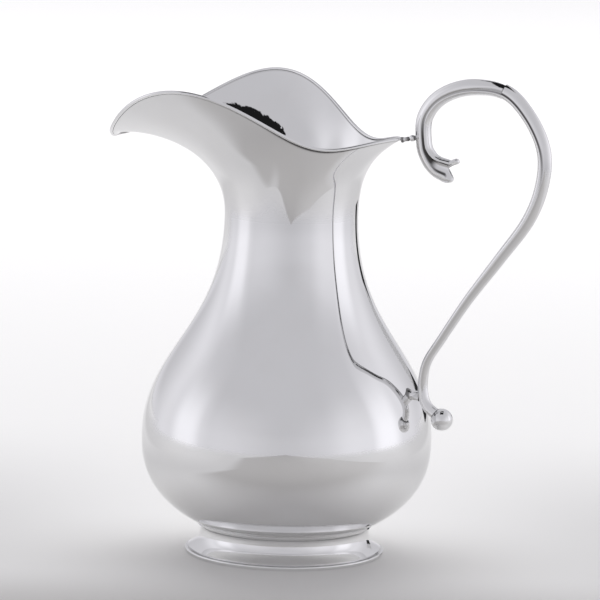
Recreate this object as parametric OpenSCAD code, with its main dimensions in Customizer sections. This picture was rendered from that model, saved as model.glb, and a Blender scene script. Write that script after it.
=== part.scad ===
// Silver water pitcher: a spun foot and bowl, a flared mouth with a broad drooping lip,
// and a cast scroll handle with a fishtail end.
// Millimetres, +Z up. The origin is the foot's centre on the table, the lip points to -X
// and the handle to +X.

/* [Foot] */
// Diameter over the edge wire that stands on the table
foot_d = 100; // [92:0.5:112]
// Diameter of the foot's waist, where it carries the bowl
waist_d = 82.5; // [70:0.5:86]
// Width of the edge wire
foot_wire_w = 1.8; // [1.4:0.1:3]
// How far the edge wire stands above the foot's flange
foot_wire_proud = 0.2; // [0.1:0.05:0.6]
// Height of the flange's edge above the table
flange_h = 1.8; // [1.6:0.1:2.4]
// Length over which the flange runs straight in from its edge
flange_l = 6.2; // [4:0.1:8]
// Fall of the flange towards its edge, from the level
flange_fall = 32; // [20:1:40]
// Thickness of the foot's wall
foot_wall = 1.1; // [0.8:0.1:1.6]

/* [Bowl] */
// Greatest diameter of the belly
belly_d = 145.5; // [134:0.5:160]
// Height of the greatest diameter above the table
belly_h = 58; // [54:0.5:66]
// Height of the bowl's underside above the table
bowl_lift = 6.5; // [5:0.5:9]
// Fullness of the belly below its greatest diameter, where 2 is an ellipse
belly_fullness = 2.35; // [2:0.05:2.8]
// Diameter of the neck where it is narrowest
neck_d = 66.8; // [58:0.2:76]
// Height of the narrowest neck, where the mouth is soldered on
neck_h = 171; // [162:0.5:182]
// Length over which the belly stays upright above its greatest diameter
shoulder_l = 45; // [38:0.5:52]
// Length over which the neck stays upright below its narrowest place
throat_l = 59; // [50:0.5:64]
// Thickness of the wall of the bowl and the mouth
wall = 1.0; // [0.8:0.05:1.4]

/* [Mouth] */
// Reach of the lip's tip from the axis
lip_reach = 97; // [88:0.5:104]
// Rise of the lip's tip above the neck
lip_rise = 34.5; // [32:0.5:41]
// Reach of the cheek, beside the lip's tip
cheek_reach = 84; // [78:0.5:90]
// Width of the mouth at the cheeks
cheek_w = 67; // [58:1:76]
// Rise of the cheek above the neck
cheek_rise = 41; // [38:0.5:46]
// Reach of the wing, where the mouth is widest and highest
wing_reach = 47; // [41:0.5:53]
// Width of the mouth at the wings
wing_w = 124; // [112:1:134]
// Rise of the wing above the neck
wing_rise = 63; // [58:0.5:67]
// Width of the mouth at the flanks, beside the axis
flank_w = 96; // [88:1:104]
// Rise of the flank above the neck
flank_rise = 52.5; // [48:0.5:57]
// Place of the dip behind the axis, where the rim is lowest
dip_back = 31; // [27:0.5:35]
// Width of the mouth at the dips
dip_w = 57; // [52:1:63]
// Rise of the dip above the neck
dip_rise = 37.5; // [34:0.5:41]
// Place of the heel behind the axis, beside the handle
heel_back = 51.5; // [48:0.5:54]
// Width of the mouth at the heels
heel_w = 20; // [18:1:24]
// Rise of the heel above the neck
heel_rise = 41; // [38:0.5:44]
// Reach of the rim behind the axis, where the handle is joined
back_reach = 58.5; // [57:0.5:64]
// Rise of the rim there above the neck
back_rise = 42; // [39:0.5:46]
// Diameter of the wire along the rim
rim_wire_d = 1.8; // [1.4:0.1:2.6]

/* [Handle] */
// Depth of the handle's section, from its inside to its back
handle_t = 8.2; // [7:0.1:9.4]
// Width of the handle's section
handle_w = 7; // [6:0.1:8]
// How far the section's widest line lies inside its middle
handle_ridge = 1.2; // [0.6:0.1:1.6]
// Diameter of the scroll along the middle of its section
scroll_d = 49.4; // [44:0.2:54]
// Step from the scroll down to the grip
scroll_step = 0.35; // [0.2:0.05:0.6]
// Length of the strut between the rim and the scroll
strut_l = 6.6; // [4:0.2:8]
// Diameter of the strut
strut_d = 2.2; // [1.8:0.1:3]
// Diameter of the bead on the strut
bead_d = 3.4; // [3.2:0.1:4.4]
// Rise of the strut from the rim to the scroll
strut_rise = 1.5; // [0:0.1:3]
// Height above the rim's back of the scroll's middle
eye_rise = 5; // [2:0.5:8]
// Height at which the handle's tail is joined to the belly
seat_h = 86; // [80:0.5:92]
// Length of the pad between the belly and the handle's tail
pad_l = 4.4; // [2.6:0.1:5]
// Diameter of that pad
pad_d = 4.6; // [3.6:0.1:5.4]
// Diameter of the ball at the end of the tail
ball_d = 11; // [9:0.5:13]

/* [Hidden] */

// Width of a soldered seam
solder = 0.05;
// Sides of the turned pieces, which are true rounds
turned_fn = 96;

silver = [0.78, 0.78, 0.79];
silver_bright = [0.86, 0.86, 0.87];

belly_r = belly_d / 2;
neck_r = neck_d / 2;
belly_drop = belly_h - bowl_lift;
waist_r = waist_d / 2;
foot_r = foot_d / 2;
flange_r = foot_r - foot_wire_w;
foot_wire_h = flange_h + foot_wire_proud;
rim_wire_r = rim_wire_d / 2;

// Steps along the bowl below and above its greatest diameter, and along the foot's curve
belly_steps = 20;
shoulder_steps = 26;
foot_steps = 12;

// Steps around the mouth and up its wall, and sides of the rim's wire
mouth_around = 72;
mouth_up = 18;
rim_around = 96;
rim_sides = 10;

// Rings to a control point of the handle and sides of its section
handle_rings = 4;
handle_sides = 16;

function unit(v) = v / norm(v);
function total(v, i = 0) = i < len(v) ? v[i] + total(v, i + 1) : 0;
function reversed(v) = [for (i = [len(v) - 1:-1:0]) v[i]];
function bezier(p, s) =
    p[0] * pow(1 - s, 3) + p[1] * 3 * s * pow(1 - s, 2) + p[2] * 3 * s * s * (1 - s) + p[3] * pow(s, 3);
function bezier_slope(p, s) =
    (p[1] - p[0]) * pow(1 - s, 2) + (p[2] - p[1]) * 2 * s * (1 - s) + (p[3] - p[2]) * s * s;

// Outline of the bowl from the axis to the neck, as [radius, height]
shoulder_curve = [
    [belly_r, belly_h], [belly_r, belly_h + shoulder_l], [neck_r, neck_h - throat_l], [neck_r, neck_h]
];
function belly_point(a) = [belly_r * sin(a), belly_h - belly_drop * pow(cos(a), 2 / belly_fullness)];
bowl_line = concat(
    [for (i = [0:belly_steps - 1]) belly_point(90 * i / belly_steps)],
    [for (i = [0:shoulder_steps]) bezier(shoulder_curve, i / shoulder_steps)]
);

// Outward direction at a point of the bowl's outline
function bowl_normal(i) =
    i == 0 ? [0, -1] :
    i == len(bowl_line) - 1 ? [1, 0] :
    let (t = unit(bowl_line[i + 1] - bowl_line[i - 1])) [t[1], -t[0]];
function bowl_offset(d) = [for (i = [0:len(bowl_line) - 1]) bowl_line[i] + d * bowl_normal(i)];

// Height of the bowl's underside at a radius, and radius of the shoulder at a height
function underside_h(r) = belly_h - belly_drop * pow(1 - pow(r / belly_r, 2), 1 / belly_fullness);
function shoulder_s(h, low = 0, high = 1, n = 24) =
    let (mid = (low + high) / 2)
    n == 0 ? mid :
    bezier(shoulder_curve, mid)[1] < h ? shoulder_s(h, mid, high, n - 1) : shoulder_s(h, low, mid, n - 1);
function shoulder_r(h) = bezier(shoulder_curve, shoulder_s(h))[0];

module bowl() {
    color(silver)
        rotate_extrude($fn = turned_fn)
            polygon(concat(bowl_line, reversed(bowl_offset(-wall))));
}

// The foot's wall: a cove from the upright waist out to the sloping flange
waist_h = underside_h(waist_r - foot_wall) - solder;
flange_edge = [flange_r - solder, flange_h];
// Share of the foot's height over which the waist stays upright
cove_pull = 0.57;
foot_curve = [
    [waist_r, waist_h],
    [waist_r, waist_h - cove_pull * (waist_h - flange_h)],
    flange_edge - flange_l * [cos(flange_fall), -sin(flange_fall)],
    flange_edge
];
function foot_normal(s) = let (way = unit(bezier_slope(foot_curve, s))) [-way[1], way[0]];

module foot() {
    outside = [for (i = [0:foot_steps]) bezier(foot_curve, i / foot_steps)];
    inside = [
        for (i = [0:foot_steps - 1])
            let (s = i / foot_steps)
            bezier(foot_curve, s) - foot_wall * foot_normal(s)
    ];
    edge_underside = flange_edge - [0, foot_wall / cos(flange_fall)];
    color(silver)
        rotate_extrude($fn = turned_fn)
            polygon(concat(outside, [edge_underside], reversed(inside)));
}

module foot_wire() {
    bevel = foot_wire_w / 3;
    color(silver_bright)
        rotate_extrude($fn = turned_fn)
            difference() {
                translate([flange_r, 0])
                    square([foot_wire_w, foot_wire_h]);
                translate([foot_r - bevel, foot_wire_h - bevel])
                    difference() {
                        square(2 * bevel);
                        circle(bevel, $fn = 48);
                    }
            }
}

// Rim of the mouth: stations from the lip's tip to its back, joined by a smooth closed curve
rim_stations = [
    [-lip_reach, 0, lip_rise],
    [-cheek_reach, cheek_w / 2, cheek_rise],
    [-wing_reach, wing_w / 2, wing_rise],
    [0, flank_w / 2, flank_rise],
    [dip_back, dip_w / 2, dip_rise],
    [heel_back, heel_w / 2, heel_rise],
    [back_reach, 0, back_rise]
];
// Slope of the wall where it reaches the rim, in degrees above the level, at the same stations
rim_slopes = [-12, 2, 42, 60, 60, 34, 30];
// Share of the wall's chord that stays upright above the neck, and that runs along the rim's slope
stem_pull = 0.38;
flare_pull = 0.45;

// Cosine and sine series through values at equal steps of half a turn
function ends_half(k, n) = k == 0 || k == n ? 0.5 : 1;
function cosine_series(v) = let (n = len(v) - 1) [
    for (j = [0:n])
        ends_half(j, n) * 2 / n * total([for (k = [0:n]) ends_half(k, n) * v[k] * cos(j * k * 180 / n)])
];
function sine_series(v) = let (n = len(v) - 1) [
    for (j = [0:n]) 2 / n * total([for (k = [0:n]) v[k] * sin(j * k * 180 / n)])
];
function even_value(c, t) = total([for (j = [0:len(c) - 1]) c[j] * cos(j * t)]);
function odd_value(c, t) = total([for (j = [0:len(c) - 1]) c[j] * sin(j * t)]);
rim_x = cosine_series([for (s = rim_stations) s[0]]);
rim_y = sine_series([for (s = rim_stations) s[1]]);
rim_z = cosine_series([for (s = rim_stations) s[2]]);
rim_slope = cosine_series(rim_slopes);
function rim_point(t) = [even_value(rim_x, t), odd_value(rim_y, t), neck_h + even_value(rim_z, t)];
function neck_point(t) = [-neck_r * cos(t), neck_r * sin(t), neck_h + solder];

// Direction in which the wall reaches the rim, and the curve of the wall from neck to rim
function rim_out(t) =
    let (level = unit([for (k = [0:1]) rim_point(t)[k] - neck_point(t)[k]]), a = even_value(rim_slope, t))
    [level[0] * cos(a), level[1] * cos(a), sin(a)];
function wall_curve(t) =
    let (
        low = neck_point(t),
        out = rim_out(t),
        high = rim_point(t) - (rim_wire_r + solder) * out,
        chord = norm(high - low)
    )
    [low, low + [0, 0, stem_pull * chord], high - flare_pull * chord * out, high];
function wall_normal(before, here, after, s) =
    unit(cross(bezier_slope(here, s), bezier(after, s) - bezier(before, s)));

// Faces between rings of points; the last ring joins the first, or both ends are capped
function side_faces(rings, sides, closed) = [
    for (j = [0:rings - (closed ? 1 : 2)], k = [0:sides - 1])
        let (
            a = j * sides + k,
            b = j * sides + (k + 1) % sides,
            c = (j + 1) % rings * sides + (k + 1) % sides,
            d = (j + 1) % rings * sides + k
        )
        each [[a, b, c], [a, c, d]]
];
module loft(rings, closed = false) {
    sides = len(rings[0]);
    last = (len(rings) - 1) * sides;
    caps = closed ? [] : [
        [for (k = [sides - 1:-1:0]) k],
        [for (k = [0:sides - 1]) last + k]
    ];
    polyhedron([for (r = rings) each r], concat(side_faces(len(rings), sides, closed), caps));
}

// The wall's section from the neck up its outside, over the rim and down its inside, for each step around
module mouth() {
    step = 360 / mouth_around;
    curves = [for (i = [0:mouth_around - 1]) wall_curve(i * step)];
    sections = [
        for (i = [0:mouth_around - 1])
            let (
                here = curves[i],
                before = curves[(i + mouth_around - 1) % mouth_around],
                after = curves[(i + 1) % mouth_around],
                outside = [for (j = [0:mouth_up]) bezier(here, j / mouth_up)],
                inside = [
                    for (j = [0:mouth_up])
                        outside[j] - wall * wall_normal(before, here, after, j / mouth_up)
                ]
            )
            concat(reversed(outside), inside)
    ];
    color(silver)
        loft(sections, closed = true);
}

module rim_wire() {
    step = 360 / rim_around;
    rings = [
        for (i = [0:rim_around - 1])
            let (
                t = i * step,
                out = rim_out(t),
                across = unit(cross(out, rim_point(t + step) - rim_point(t - step)))
            )
            [
                for (k = [0:rim_sides - 1])
                    let (a = 360 * k / rim_sides)
                    rim_point(t) - wall / 2 * across + rim_wire_r * (cos(a) * across - sin(a) * out)
            ]
    ];
    color(silver_bright)
        loft(rings, closed = true);
}

// Handle: the scroll's middle and the place where the tail meets the belly, as [x, z]
scroll_reach = scroll_d / 2;
seat_taper = 0.73;
eye = [
    back_reach + rim_wire_r + strut_l + handle_t / 2 + scroll_reach,
    neck_h + back_rise + eye_rise
];
seat = [shoulder_r(seat_h) + pad_l + seat_taper * handle_t / 2, seat_h];

// Middle line of the handle from the fishtail to the ball: [x, z, share of the seat, depth, width].
// x and z are measured from the eye, or from the seat, or from a point between them, in percent of
// the scroll's diameter; depth and width are shares of the full section
handle_line = [
    [-12.4, -38.2, 0, 1.35, 0.45],
    [-23.3, -38.4, 0, 1.16, 0.78],
    [-35.3, -33.6, 0, 1.02, 1],
    [-48.4, -12.9, 0, 1, 1],
    [-48.4, 13.9, 0, 1, 1],
    [-31.5, 35.5, 0, 1, 1],
    [-1.2, 47.2, 0, 1, 1],
    [36.3, 45.7, 0, 1, 1],
    [62.3, 23.7, 0, 0.98, 0.98],
    [79.5, -9.3, 0, 0.97, 0.97],
    [79, -44.1, 0, 0.93, 0.94],
    [65.4, -80.7, 0, 0.88, 0.9],
    [56.5, 11.3, 0.5, 0.79, 0.83],
    [24.3, -32, 0.5, 0.69, 0.77],
    [17.4, 59.1, 1, 0.64, 0.74],
    [3.4, 36.4, 1, 0.64, 0.74],
    [-0.8, 17.2, 1, 0.68, 0.77],
    [0, 0, 1, seat_taper, 0.8],
    [4.9, -10.1, 1, 0.75, 0.82],
    [13, -16.2, 1, 0.76, 0.84]
];
// Number of the point of that line where the scroll ends and the grip starts
scroll_end = 7;
// The V cut in the fishtail: its apex and its two outer corners, measured from the eye in the same way
fishtail_cut = [[-22.1, -37.5], [-6.1, -31.5], [-10.5, -44.2]];
percent = scroll_d / 100;

handle_points = [
    for (p = handle_line)
        let (base = (1 - p[2]) * eye + p[2] * seat)
        [base[0] + percent * p[0], base[1] + percent * p[1], p[3], p[4]]
];
function handle_knot(i) =
    let (n = len(handle_points) - 1)
    i < 0 ? 2 * handle_points[0] - handle_points[1] :
    i > n ? 2 * handle_points[n] - handle_points[n - 1] : handle_points[i];
// A smooth curve through the points, and its direction
function handle_at(u) =
    let (
        i = min(floor(u), len(handle_points) - 2),
        s = u - i,
        a = handle_knot(i - 1),
        b = handle_knot(i),
        c = handle_knot(i + 1),
        d = handle_knot(i + 2)
    )
    b + s / 2 * (c - a + s * (2 * a - 5 * b + 4 * c - d + s * (3 * (b - c) + d - a)));
function handle_way(u) = let (d = handle_at(u + 0.01) - handle_at(u - 0.01)) unit([d[0], d[1]]);

// One ring of the egg-shaped section, where grow makes it larger all round
function handle_ring(u, grow) =
    let (
        p = handle_at(u),
        way = handle_way(u),
        ridge = handle_ridge * p[2],
        half_t = handle_t / 2 * p[2] + grow,
        half_w = handle_w / 2 * p[3] + grow
    )
    [
        for (k = [0:handle_sides - 1])
            let (
                a = 360 * k / handle_sides,
                back = (cos(a) > 0 ? half_t + ridge : half_t - ridge) * cos(a) - ridge
            )
            [p[0] - way[1] * back, half_w * sin(a), p[1] + way[0] * back]
    ];
module handle_run(first, last, grow) {
    count = ceil((last - first) * handle_rings);
    loft([for (i = [0:count]) handle_ring(first + (last - first) * i / count, grow)]);
}

// Turns a shape drawn in the plane of the handle to stand upright in that plane
module in_handle_plane(thickness) {
    rotate([90, 0, 0])
        linear_extrude(thickness, center = true)
            children();
}

module handle_scroll() {
    color(silver)
        difference() {
            handle_run(0, scroll_end, 0);
            in_handle_plane(2 * handle_w)
                polygon([for (p = fishtail_cut) eye + percent * p]);
        }
}

module handle_grip() {
    // The grip starts one seam's width after the scroll
    seam = solder / norm(handle_points[scroll_end + 1] - handle_points[scroll_end]);
    color(silver)
        handle_run(scroll_end + seam, len(handle_points) - 1, -scroll_step);
}

// The ball has a flat seat as wide as the tail's end
module handle_ball() {
    last = len(handle_points) - 1;
    end = handle_points[last];
    way = handle_way(last);
    seat_r = handle_t / 2 * end[2];
    depth = sqrt(pow(ball_d / 2, 2) - seat_r * seat_r);
    color(silver_bright)
        translate([end[0], 0, end[1]])
            rotate([0, -atan2(way[1], way[0]), 0])
                difference() {
                    translate([depth + solder, 0, 0])
                        sphere(d = ball_d, $fn = turned_fn);
                    translate([solder - ball_d, -ball_d / 2, -ball_d / 2])
                        cube(ball_d);
                }
}

// The strut runs from the rim's wire to the back of the scroll, with a bead at the scroll
module handle_strut() {
    foot_end = [back_reach + rim_wire_r + solder, neck_h + back_rise];
    scroll_r = scroll_reach + handle_t / 2 + solder;
    drop = eye_rise - strut_rise;
    head_end = [eye[0] - sqrt(scroll_r * scroll_r - drop * drop), eye[1] - drop];
    run = head_end - foot_end;
    length = norm(run);
    color(silver_bright)
        translate([foot_end[0], 0, foot_end[1]])
            rotate([0, atan2(run[0], run[1]), 0]) {
                cylinder(d = strut_d, h = length, $fn = turned_fn);
                intersection() {
                    translate([0, 0, length - bead_d / 2])
                        sphere(d = bead_d, $fn = turned_fn);
                    cylinder(d = 2 * bead_d, h = length - solder, $fn = turned_fn);
                }
            }
}

// The pad's inner end is cut to the belly's curve
module handle_pad() {
    head = seat[0] - seat_taper * handle_t / 2 + scroll_step - solder;
    color(silver)
        difference() {
            translate([0, 0, seat_h])
                rotate([0, 90, 0])
                    cylinder(d = pad_d, h = head, $fn = turned_fn);
            rotate_extrude($fn = turned_fn)
                polygon(concat(bowl_offset(solder), [[0, neck_h]]));
        }
}

bowl();
mouth();
rim_wire();
foot();
foot_wire();
handle_grip();
handle_scroll();
handle_ball();
handle_strut();
handle_pad();
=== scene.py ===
import math

import bmesh
import bpy
from bpy.props import FloatProperty, FloatVectorProperty, PointerProperty
from bpy.types import Operator, Panel, PropertyGroup
from mathutils import Matrix, Vector


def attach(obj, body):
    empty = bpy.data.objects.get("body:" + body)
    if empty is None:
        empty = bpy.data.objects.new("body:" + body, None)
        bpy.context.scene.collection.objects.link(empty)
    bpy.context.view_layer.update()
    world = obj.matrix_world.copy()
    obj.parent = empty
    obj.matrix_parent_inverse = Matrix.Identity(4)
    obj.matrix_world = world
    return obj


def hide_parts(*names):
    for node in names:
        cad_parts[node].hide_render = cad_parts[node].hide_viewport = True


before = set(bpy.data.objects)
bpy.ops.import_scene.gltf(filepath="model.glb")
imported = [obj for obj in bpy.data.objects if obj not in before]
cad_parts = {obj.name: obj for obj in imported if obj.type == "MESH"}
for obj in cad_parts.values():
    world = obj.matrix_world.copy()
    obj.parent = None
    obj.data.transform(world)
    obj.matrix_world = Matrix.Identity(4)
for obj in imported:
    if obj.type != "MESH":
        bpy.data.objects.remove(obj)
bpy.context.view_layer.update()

bl_info = {
    "name": "Silver Water Pitcher",
    "version": (1, 0, 0),
    "blender": (4, 5, 0),
    "location": "3D View > Sidebar > Pitcher",
    "description": "Models the polished pieces of a silver water pitcher and its studio stage",
    "category": "Add Mesh",
}

BODY = "root"
TURN = 2 * math.pi
WELD = 1e-6
# The vertex layer of darkening, patina in hollows and painted shade in grooves, corners, joints and
# under the rim, and the steps round the neck, where bowl and mouth meet
SHADE_AND_TARNISH = "shade_and_tarnish"
NECK_SIDES = 240
# The finish of each slot: its material and its roughness as a share of the polish
FINISHES = {
    "polished_silver": ("mirror_sheet", 1),
    "silver_wire": ("mirror_wire", 0.8),
    "cast_silver": ("mirror_cast", 1.2),
}


def length(name, description, default):
    """A size of the pitcher, in metres."""
    return FloatProperty(
        name=name, description=description, default=default, precision=5,
        unit="LENGTH", subtype="DISTANCE",
    )


def share(name, description, default):
    """A plain number."""
    return FloatProperty(name=name, description=description, default=default, precision=4)


def angle(name, description, default):
    """An angle, given in degrees."""
    return FloatProperty(
        name=name, description=description, default=math.radians(default),
        unit="ROTATION", subtype="ANGLE",
    )


def colour(name, description, default):
    """A colour, in linear light."""
    return FloatVectorProperty(
        name=name, description=description, default=default, size=3, subtype="COLOR", min=0, max=1
    )


def station(name, description, default):
    """A point of the rim on the near side: along X, half the width, and the rise above the neck."""
    return FloatVectorProperty(
        name=name, description=description, default=default, size=3, precision=5,
        unit="LENGTH", subtype="XYZ",
    )


class PitcherFoot(PropertyGroup):
    """Sizes of the foot and its edge wire"""

    edge_d: length("Edge width", "Diameter over the edge wire", 0.1)
    waist_d: length("Waist width", "Diameter where the foot carries the bowl", 0.0825)
    wire_w: length("Wire width", "Width of the edge wire", 0.0018)
    wire_proud: length("Wire height", "How far the wire stands above the flange", 0.0002)
    flange_lift: length("Flange lift", "Height of the flange's underside", 0.0007)
    flange_l: length("Flange length", "Length over which the flange runs straight", 0.0062)
    flange_slope: angle("Flange slope", "Slope of the flange's normal above the level", 58)
    cove_pull: share("Cove", "Share of the foot's height over which the waist stays upright", 0.57)
    wall: length("Wall", "Thickness of the foot's wall", 0.0011)
    seam: length("Seam", "Size of the solder fillet between foot and bowl", 0.0024)


class PitcherBowl(PropertyGroup):
    """Sizes of the belly and the neck"""

    belly_d: length("Belly width", "Greatest diameter of the belly", 0.1455)
    belly_h: length("Belly height", "Height of the greatest diameter", 0.058)
    lift: length("Lift", "Height of the bowl's underside", 0.0065)
    fullness: share("Fullness", "Fullness of the belly below its greatest diameter", 2.35)
    neck_d: length("Neck width", "Diameter of the neck where it is narrowest", 0.0668)
    neck_h: length("Neck height", "Height of the narrowest neck", 0.171)
    shoulder_l: length("Shoulder", "Upright length above the greatest diameter", 0.045)
    throat_l: length("Throat", "Upright length below the narrowest neck", 0.059)
    wall: length("Wall", "Thickness of the bowl and the mouth", 0.001)


class PitcherMouth(PropertyGroup):
    """Stations of the rim and the slopes with which the wall reaches them"""

    lip: station("Lip", "Tip of the lip", (-0.0964, 0, 0.0355))
    cheek: station("Cheek", "Beside the tip of the lip", (-0.084, 0.0335, 0.041))
    wing: station("Wing", "Where the mouth is widest and highest", (-0.047, 0.062, 0.063))
    flank: station("Flank", "Beside the axis", (0, 0.048, 0.0525))
    dip: station("Dip", "Where the rim is lowest", (0.031, 0.0285, 0.0375))
    heel: station("Heel", "Beside the handle", (0.0515, 0.01, 0.041))
    back: station("Back", "Where the handle is joined", (0.0585, 0, 0.042))
    slopes: FloatVectorProperty(
        name="Slopes",
        description="Slope of the wall at each station, in degrees above the level",
        default=(-12, 2, 42, 60, 60, 34, 30),
        size=7,
    )
    stem_pull: share("Stem", "Share of the wall that stays upright above the neck", 0.38)
    flare_pull: share("Flare", "Share of the wall that runs along the rim's slope", 0.45)
    curl: length("Curl", "How far the tip of the lip curls down", 0.002)
    wire_d: length("Wire width", "Diameter of the wire along the rim", 0.0018)


class PitcherHandle(PropertyGroup):
    """Sizes of the handle"""

    depth: length("Depth", "Depth of the section, from its inside to its back", 0.0082)
    width: length("Width", "Width of the section", 0.007)
    ridge: length("Ridge", "How far the widest line lies inside the middle", 0.0012)
    groove: length("Groove", "Depth of the groove along both sides", 0.00045)
    split: length("Split", "How much deeper the groove is at the fishtail", 0.0017)
    scroll_d: length("Scroll width", "Diameter of the scroll", 0.0494)
    step: length("Step", "Step from the scroll down to the grip", 0.00035)
    eye_rise: length("Scroll rise", "Height of the scroll's middle above the rim's back", 0.005)
    strut_l: length("Strut length", "Length of the strut between rim and scroll", 0.0066)
    strut_d: length("Strut width", "Diameter of the strut", 0.0022)
    strut_rise: length("Strut rise", "Rise of the strut from the rim to the scroll", 0.0015)
    bead_d: length("Bead width", "Diameter of the bead on the strut", 0.0034)
    seat_h: length("Seat height", "Height at which the tail is joined to the belly", 0.086)
    seat_taper: share("Seat taper", "Share of the full depth at that place", 0.73)
    pad_l: length("Pad length", "Length of the pad between belly and tail", 0.0044)
    pad_d: length("Pad width", "Diameter of that pad", 0.0046)
    ball_d: length("Ball width", "Diameter of the ball at the end of the tail", 0.011)


class PitcherFinish(PropertyGroup):
    """Colours and polish of the silver"""

    silver: colour("Silver", "Colour of the polished silver", (0.87, 0.87, 0.872))
    haze: colour("Haze", "Colour of the faint haze left by polishing", (0.84, 0.836, 0.832))
    # Colour of the vertex layer's darkening: patina, and painted shade in grooves and corners
    tarnish_and_shade: colour("Tarnish and painted shade", "Colour in grooves and corners", (0.075, 0.072, 0.07))
    polish: share("Polish", "Roughness of the polished silver", 0.022)


class PitcherStage(PropertyGroup):
    """The floor, the light and the camera"""

    floor: colour("Floor", "Colour of the floor round the pitcher", (0.965, 0.96, 0.945))
    table: colour("Table", "Colour of the floor in front", (0.583, 0.572, 0.556))
    table_right: colour("Table right", "Colour of that floor on the right", (0.703, 0.692, 0.674))
    room: colour("Room", "Colour of the floor beyond the table", (0.765, 0.76, 0.75))
    azimuth: angle("Azimuth", "Turn of the camera from the side view", 24.5)
    elevation: angle("Elevation", "Height of the camera above the level", 9.1)
    roll: angle("Roll", "Turn of the camera about its own axis", 1.3)
    distance: length("Distance", "Distance of the camera", 2.5)
    target_h: length("Target height", "Height at which the camera looks", 0.128)
    target_side: length("Target side", "Shift of that point to the right", 0.0052)
    lens: share("Lens", "Focal length of the camera in millimetres", 300)
    lamp_power: share("Lamp", "Power of the lamp in watts", 30)


def unit(v):
    """The same direction, of length 1."""
    return v / v.length


def bezier(p, s):
    """A point of the curve with control points p."""
    t = 1 - s
    return p[0] * t**3 + p[1] * (3 * s * t * t) + p[2] * (3 * s * s * t) + p[3] * s**3


def bezier_slope(p, s):
    """A third of that curve's derivative."""
    t = 1 - s
    return (p[1] - p[0]) * t * t + (p[2] - p[1]) * (2 * s * t) + (p[3] - p[2]) * s * s


def smooth(x, low, high):
    """Rises from 0 at low to 1 at high, level at both ends."""
    t = min(1, max(0, (x - low) / (high - low)))
    return t * t * (3 - 2 * t)


def shoulder_curve(bowl):
    """The bowl's outline from the belly to the neck, as radius and height."""
    belly_r, neck_r = bowl.belly_d / 2, bowl.neck_d / 2
    return [
        Vector((belly_r, bowl.belly_h)),
        Vector((belly_r, bowl.belly_h + bowl.shoulder_l)),
        Vector((neck_r, bowl.neck_h - bowl.throat_l)),
        Vector((neck_r, bowl.neck_h)),
    ]


def bowl_outline(bowl, belly_steps=44, shoulder_steps=72):
    """Points of the bowl from the axis to the neck, as radius and height."""
    drop = bowl.belly_h - bowl.lift
    points = []
    for i in range(belly_steps):
        a = math.pi / 2 * i / belly_steps
        points.append(
            Vector((
                bowl.belly_d / 2 * math.sin(a),
                bowl.belly_h - drop * math.cos(a) ** (2 / bowl.fullness),
            ))
        )
    curve = shoulder_curve(bowl)
    points += [bezier(curve, i / shoulder_steps) for i in range(shoulder_steps + 1)]
    return points


def inner_outline(points, wall, first, last):
    """The outline moved inwards by the wall and reversed; first and last are its end normals."""
    inner = [points[0] - wall * Vector(first)]
    for before, p, after in zip(points, points[1:], points[2:]):
        along = unit(after - before)
        inner.append(p - wall * Vector((along.y, -along.x)))
    inner.append(points[-1] - wall * Vector(last))
    return inner[::-1]


def underside_h(bowl, r):
    """Height of the bowl's underside at a radius."""
    drop = bowl.belly_h - bowl.lift
    return bowl.belly_h - drop * (1 - (2 * r / bowl.belly_d) ** 2) ** (1 / bowl.fullness)


def shoulder_r(bowl, h):
    """Radius of the shoulder at a height."""
    curve = shoulder_curve(bowl)
    low, high = 0.0, 1.0
    for _ in range(40):
        mid = (low + high) / 2
        if bezier(curve, mid).y < h:
            low = mid
        else:
            high = mid
    return bezier(curve, low).x


def cosine_series(values):
    """Terms of the even curve through values that lie evenly over half a turn."""
    n = len(values) - 1
    step = math.pi / n
    half = [0.5 if k in (0, n) else 1 for k in range(n + 1)]
    halved = [h * v for h, v in zip(half, values)]
    return [
        half[j] * 2 / n * sum(v * math.cos(j * k * step) for k, v in enumerate(halved))
        for j in range(n + 1)
    ]


def sine_series(values):
    """Terms of the odd curve through such values."""
    n = len(values) - 1
    step = math.pi / n
    return [
        2 / n * sum(v * math.sin(j * k * step) for k, v in enumerate(values)) for j in range(n + 1)
    ]


def from_lip(t):
    """Angle between a turn t and the lip, on either side."""
    return min(t % TURN, TURN - t % TURN)


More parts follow.
